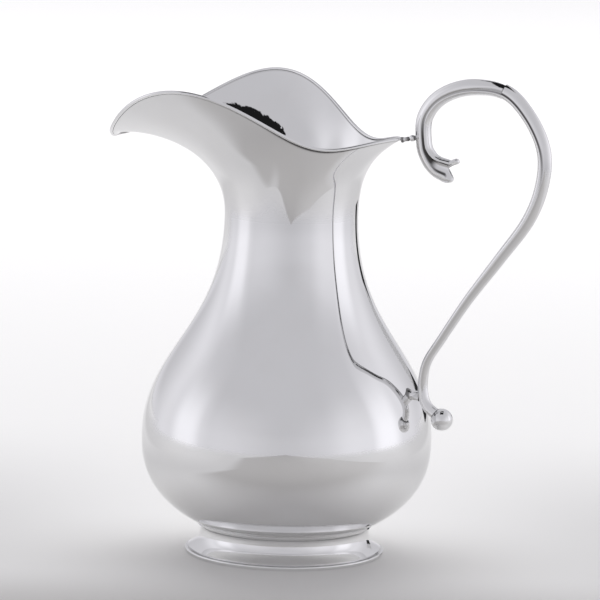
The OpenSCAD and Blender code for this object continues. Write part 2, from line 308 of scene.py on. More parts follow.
class Flare:
    """The mouth's wall between the round neck and the rim; t goes once round from the lip."""

    def __init__(self, bowl, mouth):
        stations = [
            mouth.lip, mouth.cheek, mouth.wing, mouth.flank, mouth.dip, mouth.heel, mouth.back,
        ]
        self.x = cosine_series([s[0] for s in stations])
        self.y = sine_series([s[1] for s in stations])
        self.z = cosine_series([s[2] for s in stations])
        self.slope = cosine_series([math.radians(a) for a in mouth.slopes])
        self.neck_r = bowl.neck_d / 2
        self.neck_h = bowl.neck_h
        self.wire_r = mouth.wire_d / 2
        self.curl = mouth.curl
        self.stem_pull = mouth.stem_pull
        self.flare_pull = mouth.flare_pull

    @staticmethod
    def even(series, t):
        return sum(c * math.cos(j * t) for j, c in enumerate(series))

    @staticmethod
    def odd(series, t):
        return sum(c * math.sin(j * t) for j, c in enumerate(series))

    def rim(self, t):
        """A point of the rim, before the lip's curl."""
        rise = self.even(self.z, t)
        return Vector((self.even(self.x, t), self.odd(self.y, t), self.neck_h + rise))

    def drop(self, t, s):
        """How far the end of the lip curls down; s goes from 0 at the neck to 1 at the rim."""
        beside = 1 - smooth(from_lip(t), 0.1, 0.42)
        start = 0.92
        return Vector((0, 0, -self.curl * beside * max(0, (s - start) / (1 - start)) ** 2))

    def neck(self, t):
        return Vector((-self.neck_r * math.cos(t), self.neck_r * math.sin(t), self.neck_h))

    def out(self, t):
        """Direction in which the wall reaches the rim."""
        level = self.rim(t) - self.neck(t)
        level.z = 0
        level.normalize()
        a = self.even(self.slope, t)
        return Vector((level.x * math.cos(a), level.y * math.cos(a), math.sin(a)))

    def curve(self, t):
        """The wall from the neck to the rim's wire."""
        low = self.neck(t)
        out = self.out(t)
        high = self.rim(t) - self.wire_r * out
        chord = (high - low).length
        stem = Vector((0, 0, self.stem_pull * chord))
        return [low, low + stem, high - self.flare_pull * chord * out, high]


HANDLE_LINE = (
    # Middle line from the fishtail to the ball: x and z in percent of the scroll's width, from
    # the scroll's middle, from the seat or from between them; then the share of the seat, and
    # the shares of the full depth and width
    (-22.9, -38.1, 0, 1.46, 0.82),
    (-34, -34, 0, 1.31, 0.95),
    (-42.8, -26.3, 0, 1.12, 1),
    (-48.6, -12.9, 0, 1, 1),
    (-48.4, 13.9, 0, 1, 1),
    (-31.5, 35.5, 0, 1, 1),
    (-1.2, 47.2, 0, 1, 1),
    (36.3, 45.7, 0, 1, 1),
    (62.3, 23.7, 0, 0.98, 0.98),
    (79.5, -9.3, 0, 0.97, 0.97),
    (79, -44.1, 0, 0.93, 0.94),
    (65.4, -80.7, 0, 0.88, 0.9),
    (56.5, 11.3, 0.5, 0.79, 0.83),
    (24.3, -32, 0.5, 0.69, 0.77),
    (17.4, 59.1, 1, 0.64, 0.74),
    (3.4, 36.4, 1, 0.64, 0.74),
    (-0.8, 17.2, 1, 0.68, 0.77),
    (0, 0, 1, 0.73, 0.8),
    (4.9, -10.1, 1, 0.75, 0.82),
    (13, -16.2, 1, 0.76, 0.84),
)
# Places along that line, in rows of it
SCROLL_END = 7
STRIP_START = 8.4
STRIP_END = 10.6
# Where the scroll ends in two flats: angle from the back in degrees, and shares of half the
# depth and of half the width
LEAF = ((0, 0.74, 0), (22.8, 0.7, 0.1), (73, 0.34, 0.52), (90, -0.29, 0.56))
# Middles of the fishtail's lobes from the split to the tip: x and z in percent of the scroll's
# width from its middle, and shares of the split's depth and width
UPPER_LOBE = (
    (-18.6, -30.2, 1, 0.98),
    (-16.2, -29, 0.93, 0.94),
    (-14, -28.2, 0.82, 0.86),
    (-12.2, -28.1, 0.66, 0.72),
    (-10.9, -28.5, 0.45, 0.5),
    (-10.2, -28.9, 0.2, 0.24),
)
LOWER_LOBE = (
    (-21.4, -43.6, 0.8, 0.97),
    (-19.6, -44.9, 0.62, 0.9),
    (-18, -45.7, 0.47, 0.8),
    (-16.9, -46.2, 0.33, 0.62),
    (-16.2, -46.4, 0.2, 0.42),
    (-15.9, -46.5, 0.08, 0.2),
)
# Angles round the handle's section in degrees from the groove, and the even steps beyond them
FINE_ANGLES = (2.5, 5, 8, 12, 17, 22, 27, 33)
COARSE_STEPS = 5


class Spine:
    """The handle's middle line and its grooved, egg-shaped section."""

    def __init__(self, scene):
        bowl, mouth, handle = scene.pitcher_bowl, scene.pitcher_mouth, scene.pitcher_handle
        self.sizes = handle
        self.percent = handle.scroll_d / 100
        self.scroll_r = handle.scroll_d / 2
        self.eye = Vector((
            mouth.back[0] + mouth.wire_d / 2 + handle.strut_l + handle.depth / 2 + self.scroll_r,
            bowl.neck_h + mouth.back[2] + handle.eye_rise,
        ))
        self.seat = Vector((
            shoulder_r(bowl, handle.seat_h) + handle.pad_l + handle.seat_taper * handle.depth / 2,
            handle.seat_h,
        ))
        self.points = []
        for x, z, at_seat, depth, width in HANDLE_LINE:
            base = self.eye.lerp(self.seat, at_seat)
            self.points.append(
                Vector((base.x + self.percent * x, base.y + self.percent * z, depth, width))
            )
        self.end = len(self.points) - 1

    def knot(self, i):
        """A row of the line, carried on past both ends."""
        if i < 0:
            return 2 * self.points[0] - self.points[1]
        if i > self.end:
            return 2 * self.points[-1] - self.points[-2]
        return self.points[i]

    def at(self, u):
        """The middle line at u: x, z and the shares of the full depth and width."""
        i = min(max(math.floor(u), 0), self.end - 1)
        s = u - i
        a, b, c, d = (self.knot(i + k) for k in (-1, 0, 1, 2))
        return b + s / 2 * (c - a + s * (2 * a - 5 * b + 4 * c - d + s * (3 * (b - c) + d - a)))

    def way(self, u):
        """Direction of the line at u."""
        d = self.at(u + 0.01) - self.at(u - 0.01)
        return unit(Vector((d.x, d.y)))

    def place(self, u, back, side):
        """A point of the handle: at u along it, back from its middle line and to one side."""
        p, way = self.at(u), self.way(u)
        return Vector((p.x - way.y * back, side, p.y + way.x * back))

    def skin(self, u, a, grow=0.0, groove_depth=0.0, groove_width=1.0, leaf=0.0):
        """A point of the section; a is 0 at its back and half a turn at its inside."""
        p = self.at(u)
        ridge = self.sizes.ridge * p[2]
        half_t = self.sizes.depth / 2 * p[2] + grow
        half_w = self.sizes.width / 2 * p[3] + grow
        back = (half_t + ridge if math.cos(a) > 0 else half_t - ridge) * math.cos(a) - ridge
        off = min(1, abs(abs(a) - math.pi / 2) / groove_width)
        side = (half_w - groove_depth * (1 - off * off) ** 2) * math.sin(a)
        if leaf and abs(a) < math.pi / 2 + WELD:
            flat_back, flat_side = self.facet(abs(a))
            back += leaf * (flat_back * half_t - back)
            side += leaf * (math.copysign(flat_side * half_w, a) - side)
        return self.place(u, back, side)

    @staticmethod
    def facet(a):
        """Shares of half the depth and half the width where a ridge stands between two flats."""
        for (a0, back0, side0), (a1, back1, side1) in zip(LEAF, LEAF[1:]):
            if math.degrees(a) <= a1 + 0.01:
                s = (math.degrees(a) - a0) / (a1 - a0)
                return back0 + s * (back1 - back0), side0 + s * (side1 - side0)
        return LEAF[-1][1:]


def section_angles():
    """Angles round a section, closer together beside the groove on each side."""
    last = math.radians(FINE_ANGLES[-1])
    quarter = [0.0] + [math.radians(x) for x in FINE_ANGLES]
    quarter += [last + (math.pi / 2 - last) * i / COARSE_STEPS for i in range(1, COARSE_STEPS + 1)]
    back = [math.pi / 2 - x for x in reversed(quarter)]
    half = back + [math.pi - x for x in reversed(back[:-1])]
    return half + [-x for x in reversed(half[1:-1])]


def shade_and_tarnish_layer(bm):
    """Darkening at each vertex, from 0 to 1: patina, and painted shade in grooves, corners and
    joints.
    """
    return bm.verts.layers.float.get(SHADE_AND_TARNISH) or bm.verts.layers.float.new(SHADE_AND_TARNISH)


def new_ring(bm, count, place):
    """A closed ring of edges; each vertex keeps its number round the ring."""
    around = bm.verts.layers.int.get("around") or bm.verts.layers.int.new("around")
    shade_and_tarnish = shade_and_tarnish_layer(bm)
    ring = bmesh.ops.create_circle(bm, segments=count, radius=1)["verts"]
    for k, v in enumerate(ring):
        v[around] = k
        v.co, v[shade_and_tarnish] = place(k)
    return list({e for v in ring for e in v.link_edges})


def grow_ring(bm, edges, place):
    """Extrudes a ring of edges and puts the new one in place."""
    around, shade_and_tarnish = bm.verts.layers.int["around"], shade_and_tarnish_layer(bm)
    grown = bmesh.ops.extrude_edge_only(bm, edges=edges)["geom"]
    verts = {g for g in grown if isinstance(g, bmesh.types.BMVert)}
    for v in verts:
        v.co, v[shade_and_tarnish] = place(v[around])
    return [g for g in grown if isinstance(g, bmesh.types.BMEdge) and set(g.verts) <= verts]


def loft(bm, count, rings):
    """A skin over rings, which give a point and its darkening (patina and painted shade) by number;
    returns its open ends.
    """
    first = edges = new_ring(bm, count, rings[0])
    for ring in rings[1:]:
        edges = grow_ring(bm, edges, ring)
    return first, edges


def turned(outline, closed, sides=192, tarnish_and_shade=None):
    """Spins an outline of radius and height about Z; the darkening of patina and painted shade goes
    by the height.
    """
    bm = bmesh.new()
    shade_and_tarnish = shade_and_tarnish_layer(bm)
    start = last = bmesh.ops.create_vert(bm, co=(outline[0][0], 0, outline[0][1]))["vert"][0]
    for r, h in outline[1:]:
        last = bmesh.ops.extrude_vert_indiv(bm, verts=[last])["verts"][0]
        last.co = (r, 0, h)
    if closed:
        bm.edges.new((last, start))
    bmesh.ops.spin(
        bm, geom=bm.verts[:] + bm.edges[:], cent=(0, 0, 0), axis=(0, 0, 1), dvec=(0, 0, 0),
        angle=TURN, steps=sides, use_merge=True,
    )
    if tarnish_and_shade:
        for v in bm.verts:
            v[shade_and_tarnish] = tarnish_and_shade(v.co.z)
    return bm


def finished(bm, name, slot, *nodes, crease=40):
    """Makes the piece's object, which stands for CAD nodes and rides with the pitcher."""
    bmesh.ops.remove_doubles(bm, verts=bm.verts[:], dist=WELD)
    bmesh.ops.recalc_face_normals(bm, faces=bm.faces[:])
    for face in bm.faces:
        face.smooth = True
    mesh = bpy.data.meshes.new(name)
    bm.to_mesh(mesh)
    bm.free()
    mesh.set_sharp_from_angle(angle=math.radians(crease))
    mesh.materials.append(silver(slot))
    piece = bpy.data.objects.new(name, mesh)
    bpy.context.scene.collection.objects.link(piece)
    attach(piece, BODY)
    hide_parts(*nodes)


class Value:
    """A socket of a node tree. Arithmetic on it adds Math nodes."""

    def __init__(self, tree, socket=None):
        self.tree = tree
        self.socket = socket

    def add(self, kind, settings=None, inputs=None, out=0):
        """Adds a node: its type, its settings, and the values or links of its sockets."""
        node = self.tree.nodes.new(kind)
        for key, value in (settings or {}).items():
            setattr(node, key, value)
        for key, value in (inputs or {}).items():
            if isinstance(value, Value):
                self.tree.links.new(value.socket, node.inputs[key])
            else:
                node.inputs[key].default_value = value
        return Value(self.tree, node.outputs[out] if node.outputs else None)

    def maths(self, operation, *terms):
        return self.add("ShaderNodeMath", {"operation": operation}, dict(enumerate(terms)))

    def __add__(self, other):
        return self.maths("ADD", self, other)

    def __sub__(self, other):
        return self.maths("SUBTRACT", self, other)

    def __rsub__(self, other):
        return self.maths("SUBTRACT", other, self)

    def __mul__(self, other):
        return self.maths("MULTIPLY", self, other)

    def __truediv__(self, other):
        return self.maths("DIVIDE", self, other)

    def __neg__(self):
        return self.maths("MULTIPLY", self, -1)

    __radd__ = __add__
    __rmul__ = __mul__

    def rise(self, low, high):
        """Rises smoothly from 0 at low to 1 at high."""
        return self.add(
            "ShaderNodeMapRange", {"interpolation_type": "SMOOTHSTEP"},
            {"Value": self, "From Min": low, "From Max": high},
        )

    def mix(self, a, b):
        """Colour a where this value is 0 and b where it is 1."""
        inputs = {"Factor": self, 6: opaque(a), 7: opaque(b)}
        return self.add("ShaderNodeMix", {"data_type": "RGBA"}, inputs, out=2)

    def larger(self, other):
        """The larger of two values."""
        return self.maths("MAXIMUM", self, other)

    def split(self):
        """The three parts of a vector."""
        first = self.add("ShaderNodeSeparateXYZ", None, {0: self})
        return [Value(self.tree, part) for part in first.socket.node.outputs]


def opaque(c):
    """A colour as a socket takes it."""
    return c if isinstance(c, Value) else (c[0], c[1], c[2], 1)


def blank(name):
    """A material without nodes, and a value to start its nodes from."""
    material = bpy.data.materials.new(name)
    material.use_nodes = True
    material.node_tree.nodes.clear()
    return material, Value(material.node_tree)


def silver_material(name, finish, roughness):
    """Polished silver with a faint haze and fine marks, darkened by the vertex layer: patina and
    painted shade in grooves, corners and joints, and painted shade under the rim.
    """
    material, here = blank(name)
    place = here.add("ShaderNodeTexCoord", out=3)
    cloud = here.add(
        "ShaderNodeTexNoise", None, {"Vector": place, "Scale": 38, "Detail": 3, "Roughness": 0.6}
    ).rise(0.38, 0.72)
    stretched = here.add("ShaderNodeMapping", None, {"Vector": place, "Scale": (260, 260, 2600)})
    marks = here.add(
        "ShaderNodeTexNoise", None, {"Vector": stretched, "Scale": 1, "Detail": 2, "Roughness": 0.5}
    )
    # The vertex layer's darkening: patina, and painted shade in grooves, corners, joints and under
    # the rim
    dark = here.add("ShaderNodeAttribute", {"attribute_name": SHADE_AND_TARNISH}, out=2)
    bump = here.add(
        "ShaderNodeBump", None, {"Strength": 0.06, "Distance": 0.00002, "Height": marks}
    )
    shader = here.add("ShaderNodeBsdfPrincipled", None, {
        "Base Color": dark.mix((cloud * 0.5).mix(finish.silver, finish.haze), finish.tarnish_and_shade),
        "Metallic": 1,
        "Roughness": roughness + cloud * 0.012 + dark * 0.3,
        "Specular Tint": (0.85, 0.85, 0.85, 1),
        "Normal": bump,
    })
    here.add("ShaderNodeOutputMaterial", None, {"Surface": shader})
    return material


def silver(slot):
    """The material of a slot, made once."""
    name, dullness = FINISHES[slot]
    finish = bpy.context.scene.pitcher_finish
    return bpy.data.materials.get(name) or silver_material(name, finish, finish.polish * dullness)


class PITCHER_OT_bowl(Operator):
    """Spin the bowl, with the belly and the neck in one wall"""

    bl_idname = "pitcher.bowl"
    bl_label = "Bowl"

    def execute(self, context):
        bowl = context.scene.pitcher_bowl
        outer = bowl_outline(bowl)
        inner = inner_outline(outer, bowl.wall, (0, -1), (1, 0))
        bm = turned(outer + inner, closed=False, sides=NECK_SIDES)
        finished(bm, "bowl_shell", "polished_silver", "bowl")
        return {"FINISHED"}


class PITCHER_OT_mouth(Operator):
    """Raise the flared mouth from the neck to the rim, outside and inside"""

    bl_idname = "pitcher.mouth"
    bl_label = "Mouth"

    def execute(self, context):
        scene = context.scene
        flare = Flare(scene.pitcher_bowl, scene.pitcher_mouth)
        wall = scene.pitcher_bowl.wall
        around, up = NECK_SIDES, 56
        turns = [TURN * k / around for k in range(around)]
        curves = [flare.curve(t) for t in turns]
        # Painted shade: the dark line under the wire is faint round the lip, and a painted shadow
        # lies deep under its tip
        wire_shade = [0.06 + 0.84 * smooth(from_lip(t), 1.1, 1.9) for t in turns]
        tip_shadow = [0.9 * (1 - smooth(from_lip(t), 0.05, 0.2)) for t in turns]

        def outside(s):
            def point(k):
                line = wire_shade[k] * smooth(s, 0.99 - 0.012 * wire_shade[k], 0.998)
                skin = bezier(curves[k], s) + flare.drop(turns[k], s)
                return skin, max(line, tip_shadow[k] * smooth(s, 0.95, 0.975))
            return point

        def inside(s):
            def point(k):
                here = curves[k]
                across = bezier(curves[(k + 1) % around], s) - bezier(curves[k - 1], s)
                skin = bezier(here, s) - wall * unit(bezier_slope(here, s).cross(across))
                skin += flare.drop(turns[k], s)
                # Painted shade on the inside, just below the wire
                return skin, 0.25 * smooth(s, 0.988, 0.999)
            return point

        # Close rings below the rim keep its dark line narrow
        heights = [j / up for j in range(up)] + [0.987, 0.991, 0.995, 1.0]
        bm = bmesh.new()
        rings = [outside(s) for s in heights] + [inside(s) for s in reversed(heights)]
        loft(bm, around, rings + [outside(0)])
        finished(bm, "mouth_flare", "polished_silver", "mouth")
        return {"FINISHED"}


class PITCHER_OT_rim_wire(Operator):
    """Run the round wire along the edge of the mouth"""

    bl_idname = "pitcher.rim_wire"
    bl_label = "Rim Wire"

    def execute(self, context):
        scene = context.scene
        flare = Flare(scene.pitcher_bowl, scene.pitcher_mouth)
        wall = scene.pitcher_bowl.wall
        around, sides = 300, 20

        def ring(i):
            t, step = TURN * i / around, TURN / around
            out = flare.out(t)
            across = unit(out.cross(flare.rim(t + step) - flare.rim(t - step)))
            middle = flare.rim(t) + flare.drop(t, 1) - wall / 2 * across

            def point(k):
                a = TURN * k / sides
                # Painted shade on the wire's underside, next to the wall
                under = 0.6 * smooth(math.sin(a), 0.75, 0.95)
                return middle + flare.wire_r * (math.cos(a) * across - math.sin(a) * out), under
            return point

        bm = bmesh.new()
        loft(bm, sides, [ring(i % around) for i in range(around + 1)])
        finished(bm, "rim_edge_wire", "silver_wire", "rim_wire")
        return {"FINISHED"}


class PITCHER_OT_foot(Operator):
    """Spin the hollow foot and the wire round its edge"""

    bl_idname = "pitcher.foot"
    bl_label = "Foot"

    def execute(self, context):
        scene = context.scene
        foot, bowl = scene.pitcher_foot, scene.pitcher_bowl
        waist_r, edge_r = foot.waist_d / 2, foot.edge_d / 2
        flange_r, flange_top = edge_r - foot.wire_w, foot.flange_lift + foot.wall
        # The solder fillet starts a hair inside the bowl's wall and ends upright at the waist
        seam, hair = foot.seam, 0.00001
        joint_r, near_r = waist_r + seam, waist_r + seam / 4
        joint = [
            Vector((joint_r, underside_h(bowl, joint_r) + 2 * hair)),
            Vector((near_r, underside_h(bowl, near_r) - 5 * hair)),
            Vector((waist_r, underside_h(bowl, waist_r) - seam / 4)),
            Vector((waist_r, underside_h(bowl, waist_r) - seam)),
        ]
        waist_h = underside_h(bowl, waist_r) + foot.wall / 4
        slope = Vector((math.sin(foot.flange_slope), -math.cos(foot.flange_slope)))
        edge = Vector((flange_r, flange_top))
        cove = [
            joint[3],
            Vector((waist_r, waist_h - foot.cove_pull * (waist_h - flange_top))),
            edge - foot.flange_l * slope,
            edge,
        ]
        joint_steps, cove_steps = 16, 48
        outside = [bezier(joint, i / joint_steps) for i in range(joint_steps)]
        outside += [bezier(cove, i / cove_steps) for i in range(cove_steps + 1)]
        inside = inner_outline(outside, foot.wall, (1, 0), (-slope.y, slope.x))
        bm = turned(outside + inside, closed=True)
        finished(bm, "foot_shell", "polished_silver", "foot", crease=50)

        top, bevel = flange_top + foot.wire_proud, foot.wire_w / 3
        outline = [(flange_r, 0), (edge_r - bevel / 3, 0), (edge_r, bevel / 3)]
        outline += [
            (edge_r - bevel + bevel * math.cos(a), top - bevel + bevel * math.sin(a))
            for a in (math.pi / 2 * i / 8 for i in range(9))
        ]
        outline += [(flange_r + bevel / 3, top), (flange_r, top - bevel / 3)]
        bm = turned(outline, closed=True)
        finished(bm, "foot_edge_wire", "silver_wire", "foot_wire", crease=50)
        return {"FINISHED"}


def strip_edge(u):
    """Angle from the back at which the strip along the grip's inside begins."""
    return math.radians(93 - 16 * smooth(u, STRIP_START, STRIP_END))


class PITCHER_OT_handle(Operator):
    """Draw the grip and the scroll with its fishtail along the handle's middle line"""

    bl_idname = "pitcher.handle"
    bl_label = "Handle"

    def execute(self, context):
        scene = context.scene
        spine = Spine(scene)
        angles = section_angles()
        self.grip(scene, spine, angles)
        self.scroll(scene, spine, angles)
        return {"FINISHED"}

    def grip(self, scene, spine, angles):
        step = scene.pitcher_handle.step
        count = 260
        first, last, edge = SCROLL_END - 0.01, spine.end, 0.012
        along = [first, first + edge]
        along += [first + (last - first) * i / count for i in range(1, count + 1)]

        def ring(u):
            # Painted shade at both ends, in the joints with the scroll and the ball, and in a line
            # along the inside; patina and painted shade in the crease beside the strip
            end = max(1 - smooth(u, first, first + edge), smooth(u, last - 0.05, last))
            seam = 0.8 * smooth(u, 7.2, 8) * (1 - smooth(u, 16, 17.5))
            beside = math.degrees(strip_edge(u)) - 5
            fading = 1 - 0.9 * smooth(u, STRIP_START, STRIP_END)

            def point(k):
                turn = math.degrees(abs(angles[k]))
                crease = (1 - smooth(abs(turn - beside), 3, 10)) * fading
                tarnish_and_shade = max(end, crease, seam * smooth(turn, 164, 172))
                return spine.skin(u, angles[k], -step), tarnish_and_shade
            return point

        bm = bmesh.new()
        ends = loft(bm, len(angles), [ring(u) for u in along])
        for edges in ends:
            bmesh.ops.edgeloop_fill(bm, edges=edges)
        finished(bm, "handle_grip_rod", "cast_silver", "handle_grip")

    def scroll(self, scene, spine, angles):
        sizes = scene.pitcher_handle

        def ring(u):
            # The grooves open towards the fishtail, and two flats form at the far end
            opening = 1 - smooth(u, 0.2, 3.2)
            depth = sizes.groove + sizes.split * opening
            width = math.radians(16 + 22 * opening)
            leaf = min(1, max(0, (u - 6.1) / 0.88))
            strength = 1 - 0.55 * smooth(u, 3.2, 4.4)

            def point(k):
                a = angles[k]
                off = abs(abs(a) - math.pi / 2) / width
                # Patina and painted shade along the grooves, and on their walls where they open
                # towards the fishtail
                line = smooth(1 - off, 0.15, 0.6)
                walls = smooth(off, 0.45, 0.6) * (1 - smooth(off, 0.7, 0.86))
                tarnish_and_shade = strength * (line + smooth(opening, 0.55, 0.9) * (walls - line))
                # Painted shade on the back half at the scroll's end, where it steps down to the
                # grip
                if abs(a) < math.pi / 2 + WELD:
                    tarnish_and_shade = max(tarnish_and_shade, smooth(u, SCROLL_END - 0.06, SCROLL_END - 0.01))
                return spine.skin(u, a, 0.0, depth, width, leaf), tarnish_and_shade
            return point

        def strip_ring(u):
            """Past the scroll only its inside goes on, as a strip that sinks into the grip."""
            fade = (u - SCROLL_END) / (STRIP_END - SCROLL_END)
            edge = strip_edge(u)
            buried, below, sinking = 0.0009, 0.0002, 0.0003

            def point(k):
                a = angles[k]
                inner = smooth(abs(a), edge - math.radians(6), edge + math.radians(4))
                grow = -buried + inner * (buried - below - sinking * fade)
                # Patina and painted shade along the strip's edge, fading out as it sinks
                wall = (1 - smooth(abs(inner - 0.5), 0.25, 0.5)) * (1 - smooth(fade, 0.6, 1))
                return spine.skin(u, a, grow), wall
            return point

        count, strip_count = 200, 60
        strip_step = (STRIP_END - SCROLL_END - 0.01) / strip_count
        strip = [strip_ring(STRIP_END - strip_step * i) for i in range(strip_count + 1)]
        rings = [ring(SCROLL_END * i / count) for i in range(count, -1, -1)]
        bm = bmesh.new()
        start, split = loft(bm, len(angles), strip + rings)
        bmesh.ops.edgeloop_fill(bm, edges=start)
        self.fishtail(bm, spine, split, angles)
        finished(bm, "handle_scroll_rod", "cast_silver", "handle_scroll")

    def fishtail(self, bm, spine, split, angles):
        """Splits the open end at the grooves into two lobes with rounded tips."""
        around = bm.verts.layers.int["around"]
        ring = {v[around]: v for e in split for v in e.verts}
        right = min(ring, key=lambda k: abs(angles[k] - math.pi / 2))
        left = min(ring, key=lambda k: abs(angles[k] + math.pi / 2))
        web = bm.edges.new((ring[right], ring[left]))
        lobes = (
            (lambda k: abs(angles[k]) >= abs(angles[right]) - WELD, UPPER_LOBE),
            (lambda k: abs(angles[k]) <= abs(angles[right]) + WELD, LOWER_LOBE),
        )
        for belongs, path in lobes:
            edges = [e for e in split if all(belongs(v[around]) for v in e.verts)] + [web]
            rest = {v[around]: v.co.copy() for e in edges for v in e.verts}
            middle = sum(rest.values(), Vector()) / len(rest)
            for x, z, deep, wide in path:
                centre = Vector((spine.eye.x, 0, spine.eye.y)) + spine.percent * Vector((x, 0, z))

                def point(k):
                    off = rest[k] - middle
                    # Patina and painted shade in the groove, carried into the split
                    crease = deep if k in (left, right) else 0.0
                    return centre + Vector((off.x * deep, off.y * wide, off.z * deep)), crease
                edges = grow_ring(bm, edges, point)
            bmesh.ops.edgeloop_fill(bm, edges=edges)


def stood(bm, foot, way):
    """Moves a turned piece so that its axis starts at foot and runs along way."""
    turn = Vector((0, 0, 1)).rotation_difference(way).to_matrix().to_4x4()
    bmesh.ops.transform(bm, matrix=Matrix.Translation(foot) @ turn, verts=bm.verts[:])


class PITCHER_OT_joins(Operator):
    """Turn the ball, the strut with its bead and the pad that hold the handle"""

    bl_idname = "pitcher.joins"
    bl_label = "Ball, Strut and Pad"

    def execute(self, context):
        scene = context.scene
        spine = Spine(scene)
        self.ball(scene, spine)
        self.strut(scene, spine)
        self.pad(scene, spine)
        return {"FINISHED"}

    def ball(self, scene, spine):
        sizes = scene.pitcher_handle
        end, way = spine.at(spine.end), spine.way(spine.end)
        r = sizes.ball_d / 2
        seat_r = sizes.depth / 2 * end[2]
        depth = math.sqrt(r * r - seat_r * seat_r)
        start = math.asin(seat_r / r)
        outline = [(0, 0.0), (seat_r * 0.9, 0.0)]
        outline += [
            (r * math.sin(a), depth - r * math.cos(a))
            for a in (start + (math.pi - start) * i / 40 for i in range(41))
        ]
        # Patina and painted shade where the ball meets the tail
        bm = turned(outline, False, 64, lambda h: 0.8 * (1 - smooth(h, 0.0002, 0.0007)))
        stood(bm, Vector((end.x, 0, end.y)), Vector((way.x, 0, way.y)))
        finished(bm, "handle_tail_ball", "cast_silver", "handle_ball")

    def strut(self, scene, spine):
        sizes, mouth, bowl = scene.pitcher_handle, scene.pitcher_mouth, scene.pitcher_bowl
        foot = Vector((mouth.back[0] + mouth.wire_d / 2, 0, bowl.neck_h + mouth.back[2]))
        reach = spine.scroll_r + sizes.depth / 2
        drop = sizes.eye_rise - sizes.strut_rise
        head = Vector((spine.eye.x - math.sqrt(reach * reach - drop * drop), 0, spine.eye.y - drop))
        run = (head - foot).length
        rod, bead = sizes.strut_d / 2, sizes.bead_d / 2
        bite, gap, sunk = 0.0006, 0.0004, 0.0005
        outline = [(0, -bite), (rod * 1.35, -bite), (rod * 1.2, bite / 2), (rod, 2 * bite)]
        outline.append((rod, run - 2 * bead - gap))
        outline += [
            (max(rod * 0.8, bead * math.sin(a)), run - bead - bead * math.cos(a))
            for a in (math.pi * i / 20 for i in range(2, 19))
        ]
        outline += [(rod * 0.9, run + sunk), (0, run + sunk)]

        # Patina and painted shade at both ends and beside the bead
        def corners(h):
            off = min(abs(h - run + 2 * bead), abs(h - run), abs(h))
            return 0.9 * (1 - smooth(off, 0.0003, 0.0009))

        bm = turned(outline, False, 48, corners)
        stood(bm, foot, unit(head - foot))
        finished(bm, "handle_strut_rod", "cast_silver", "handle_strut")

    def pad(self, scene, spine):
        sizes, bowl = scene.pitcher_handle, scene.pitcher_bowl
        sunk, bite = 0.0014, 0.0006
        foot = Vector((shoulder_r(bowl, sizes.seat_h) - sunk, 0, sizes.seat_h))
        run = spine.seat.x - sizes.seat_taper * sizes.depth / 2 + sizes.step + bite - foot.x
        r = sizes.pad_d / 2
        steps = 20
        outline = [(0, 0)]
        for i in range(steps + 1):
            s = i / steps
            outline.append((r * (0.95 + 0.55 * (1 - s) ** 3 + 0.25 * s**3), run * s))
        outline.append((0, run))
        # Patina and painted shade where the pad meets the belly
        bm = turned(outline, False, 64, lambda h: 0.75 * (1 - smooth(h - sunk, 0.0002, 0.0012)))
        stood(bm, foot, Vector((1, 0, 0)))
        finished(bm, "handle_seat_pad", "cast_silver", "handle_pad")


def stage_piece(scene, bm, name, material):
    """Links a mesh of the stage, which is no part of the pitcher."""
    mesh = bpy.data.meshes.new(name)
    bm.to_mesh(mesh)
    bm.free()
    mesh.materials.append(material)
    piece = bpy.data.objects.new(name, mesh)
    scene.collection.objects.link(piece)
    return piece


def facing(place, way):
    """Stands something at a place with its front along a direction."""
    return Matrix.Translation(place) @ way.to_track_quat("Z", "Y").to_matrix().to_4x4()


